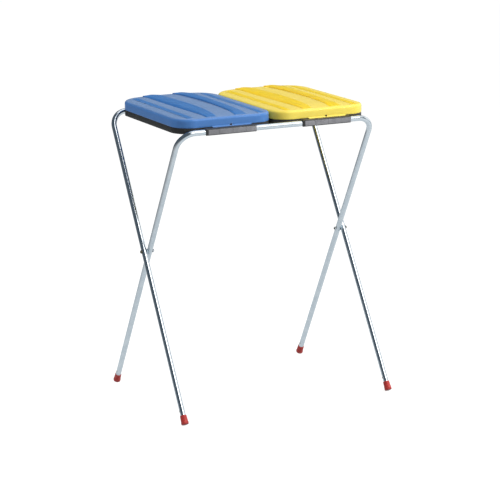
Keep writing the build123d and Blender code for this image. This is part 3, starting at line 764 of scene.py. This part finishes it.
# a rounded profile carried round a rounded rectangle: point = corner centre + (corner radius - depth into
# the wall) along the direction that turns through a quarter at each corner
def buildWall(name, centre, body, material):
    d, steps = ringWall, ringWall["steps"]
    half, front = lidShape["width"] / 2 - d["inset"], lidShape["front"] + d["inset"]
    frontCorner = lidShape["corner"] - d["inset"]
    radius = np.repeat([d["rearCorner"], d["rearCorner"], frontCorner, frontCorner], steps)
    profile = roundProfile([
        (0, d["top"]), (0, d["bottom"]), (d["wall"], d["bottom"]), (d["wall"], d["top"]),
    ], d["round"])
    turn = np.concatenate([np.linspace(0, math.pi / 2, steps) + count * math.pi / 2 for count in range(4)])
    toRight = np.repeat([1, -1, -1, 1], steps) * (half - radius)
    toRear = np.where(np.repeat([True, True, False, False], steps), d["rear"] - radius, front + radius)
    depth = radius[:, None] - profile[:, 0]
    u = toRight[:, None] + depth * np.cos(turn)[:, None]
    s = toRear[:, None] + depth * np.sin(turn)[:, None]
    points = fromRingPlane(centre, u, s, profile[:, 1])
    index = np.arange(u.size).reshape(u.shape)
    return makePiece(name, points, hoopFaces(index), body, material)


clipStrip = {
    "left": -0.0820, "right": 0.0875, "top": 0.00875, "bottom": -0.00725, "front": -0.0130,
    "back": -0.0116, "fall": 0.0012, "lean": 0.6, "round": 0.0003, "sections": 30,
    "marks": (-0.0442, 0.00275, 0.0497), "markWidth": 0.0016, "markDepth": 0.0008, "markEdge": 0.0001,
}


# the strip is its profile carried along the bar; at a mark the front face steps back by the mark's depth
def buildStrip(name, centre, body, material, nodeName):
    d = clipStrip
    profile = roundProfile([
        (d["back"], d["top"]), (d["front"], d["top"]), (d["front"], d["bottom"] + d["fall"]),
        (d["front"] + d["fall"] * d["lean"], d["bottom"]), (d["back"], d["bottom"]),
    ], d["round"], steps=3)
    edge, marks = d["markWidth"] / 2, np.array(d["marks"])
    steps = [marks + way * edge + past for way in (-1, 1) for past in (-d["markEdge"], d["markEdge"])]
    ends = [d["left"] + d["round"], d["right"] - d["round"]]
    u = np.unique(np.concatenate([np.linspace(d["left"], d["right"], d["sections"]), ends, *steps]))
    marked = (np.abs(u[:, None] - marks) < edge).any(axis=1)
    atEnd = np.isclose(u, d["left"]) | np.isclose(u, d["right"])
    front = d["front"] + marked * d["markDepth"] + atEnd * d["round"]
    s = np.maximum(profile[:, 0], front[:, None])
    points = fromRingPlane(centre, u[:, None], s, profile[:, 1])
    index = np.arange(s.size).reshape(s.shape)
    piece = makePiece(name, points, rodFaces(index), body, material)
    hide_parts(nodeName)


for side, sign in (("left", -1), ("right", 1)):
    centre, body = sign * ringPlane["ringCentre"], side + "_ring_body"
    buildWall(side + "RingWall", centre, body, materials["blackRing"])
    buildStrip(
        side + "ClipStrip", centre, body, materials["greyStrip"], side + "_front_strip")
print("ring walls and strips: 4")

# floor, light and camera
studio = {
    "floorSize": 60.0, "floorTone": (0.30, 0.30, 0.30, 1), "floorRough": 0.9, "floorLift": 0.84,
    "floorMirror": (0.34, 0.39, 0.42, 1), "sideMirror": (0.02, 0.03, 0.04, 1), "floorSide": (-2.2, -0.4),
    "worldDiffuse": 0.58, "sky": (0.085, 0.110, 0.135, 1),
}
# bright cards round the stand, which only shiny surfaces see: direction, half angles where it ends and
# where it is full, tone
cards = [
    {"towards": (0.45, 0.10, 0.89), "degrees": (34, 24), "tone": (1.15, 1.18, 1.20, 1)},
    {"towards": (0.45, -0.86, 0.22), "degrees": (32, 16), "tone": (0.80, 0.84, 0.86, 1)},
    {"towards": (1.00, 0.15, 0.12), "degrees": (40, 24), "tone": (1.05, 1.08, 1.10, 1)},
    {"towards": (0.29, -0.69, 0.67), "degrees": (18, 13), "tone": (4.0, 4.0, 4.0, 1)},
]


# what the floor shows: white to the camera; to shiny surfaces a pale grey that darkens towards the unlit side
def buildFloor():
    bpy.ops.mesh.primitive_plane_add(size=studio["floorSize"])
    floor = bpy.context.object
    floor.name = "studioFloor"
    material, tree, shader = newMaterial("paleFloor")
    shader.inputs["Base Color"].default_value = studio["floorTone"]
    shader.inputs["Roughness"].default_value = studio["floorRough"]
    shader.inputs["Specular IOR Level"].default_value = 0.0
    path = addNode(tree, "ShaderNodeLightPath")
    place = addNode(tree, "ShaderNodeTexCoord").outputs["Object"]
    toRight = addNode(tree, "ShaderNodeSeparateXYZ", Vector=place).outputs["X"]
    lit = rampNode(tree, toRight, *studio["floorSide"])
    mirrored = mixColour(tree, lit, studio["sideMirror"], studio["floorMirror"])
    white = (studio["floorLift"],) * 3 + (1,)
    shown = mixColour(tree, path.outputs["Is Camera Ray"], mirrored, white)
    seen = mathNode(tree, "MAXIMUM", path.outputs["Is Camera Ray"], path.outputs["Is Glossy Ray"])
    seen = mathNode(tree, "MAXIMUM", seen, path.outputs["Is Transmission Ray"])
    tree.links.new(shown, shader.inputs["Emission Color"])
    tree.links.new(seen, shader.inputs["Emission Strength"])
    floor.data.materials.append(material)


# the world is white to the camera, an even soft grey as light, and to shiny surfaces dark with bright cards;
# a card = smooth step of the cosine between the ray and the card's own direction
def buildWorld():
    world = bpy.data.worlds.new("softStudio")
    world.use_nodes = True
    tree = world.node_tree
    tree.nodes.clear()
    output = tree.nodes.new("ShaderNodeOutputWorld")
    background = tree.nodes.new("ShaderNodeBackground")
    path = tree.nodes.new("ShaderNodeLightPath")
    ray = addNode(tree, "ShaderNodeTexCoord").outputs["Generated"]
    dot, sky = {"operation": "DOT_PRODUCT"}, studio["sky"]
    for card in cards:
        towards = tuple(Vector(card["towards"]).normalized())
        cosine = addNode(tree, "ShaderNodeVectorMath", dot, i0=ray, i1=towards).outputs["Value"]
        ends, full = (math.cos(math.radians(angle)) for angle in card["degrees"])
        sky = mixColour(tree, rampNode(tree, cosine, ends, full), sky, card["tone"])
    soft = (studio["worldDiffuse"],) * 3 + (1,)
    glossy = mathNode(tree, "MAXIMUM", path.outputs["Is Glossy Ray"], path.outputs["Is Transmission Ray"])
    shown = mixColour(tree, glossy, soft, sky)
    shown = mixColour(tree, path.outputs["Is Camera Ray"], shown, (1, 1, 1, 1))
    tree.links.new(shown, background.inputs["Color"])
    tree.links.new(background.outputs[0], output.inputs["Surface"])
    scene.world = world


# a lamp faces its target; shiny surfaces see the cards instead of it
def addAreaLight(name, place, target, size, power):
    light = bpy.data.lights.new(name, "AREA")
    light.shape = "RECTANGLE"
    light.size, light.size_y = size
    light.energy = power
    lamp = bpy.data.objects.new(name, light)
    lamp.location = place
    lamp.rotation_euler = (Vector(target) - Vector(place)).to_track_quat("-Z", "Y").to_euler()
    lamp.visible_glossy = False
    scene.collection.objects.link(lamp)


lamps = {
    "keySoftbox": {"place": (2.6, -3.1, 3.0), "target": (0, 0, 0.7), "size": (1.6, 1.8), "power": 195},
    "fillSoftbox": {"place": (-3.6, 0.6, 1.9), "target": (0, 0, 0.9), "size": (1.2, 0.9), "power": 32},
    "topSoftbox": {"place": (0.0, 0.6, 3.6), "target": (0, 0, 0.9), "size": (2.6, 2.0), "power": 24},
}
buildFloor()
buildWorld()
for lampName, settings in lamps.items():
    addAreaLight(lampName, **settings)

cameraFit = {
    "place": (-2.838045, -5.425874, 1.797353), "yawDeg": -27.725, "pitchDeg": -12.206, "rollDeg": -0.838,
    "focalPx": 1881.012, "imagePx": 500, "sensor": 36.0,
}


# the view's right, up and forward axes from yaw about Z, pitch above the horizon and roll about the view
def buildCamera():
    yaw, pitch, roll = (math.radians(cameraFit[k]) for k in ("yawDeg", "pitchDeg", "rollDeg"))
    level = math.cos(pitch)
    forward = Vector((-math.sin(yaw) * level, math.cos(yaw) * level, math.sin(pitch)))
    right = Vector((math.cos(yaw), math.sin(yaw), 0))
    up = right.cross(forward)
    tiltedRight = math.cos(roll) * right + math.sin(roll) * up
    tiltedUp = -math.sin(roll) * right + math.cos(roll) * up
    data = bpy.data.cameras.new("photoCamera")
    data.sensor_width = cameraFit["sensor"]
    data.lens = cameraFit["focalPx"] * cameraFit["sensor"] / cameraFit["imagePx"]
    camera = bpy.data.objects.new("photoCamera", data)
    axes = Matrix((tiltedRight, tiltedUp, -forward)).transposed().to_4x4()
    camera.matrix_world = Matrix.Translation(cameraFit["place"]) @ axes
    scene.collection.objects.link(camera)
    scene.camera = camera


buildCamera()
scene.view_settings.view_transform = "Standard"
print("stage, light and camera ready")
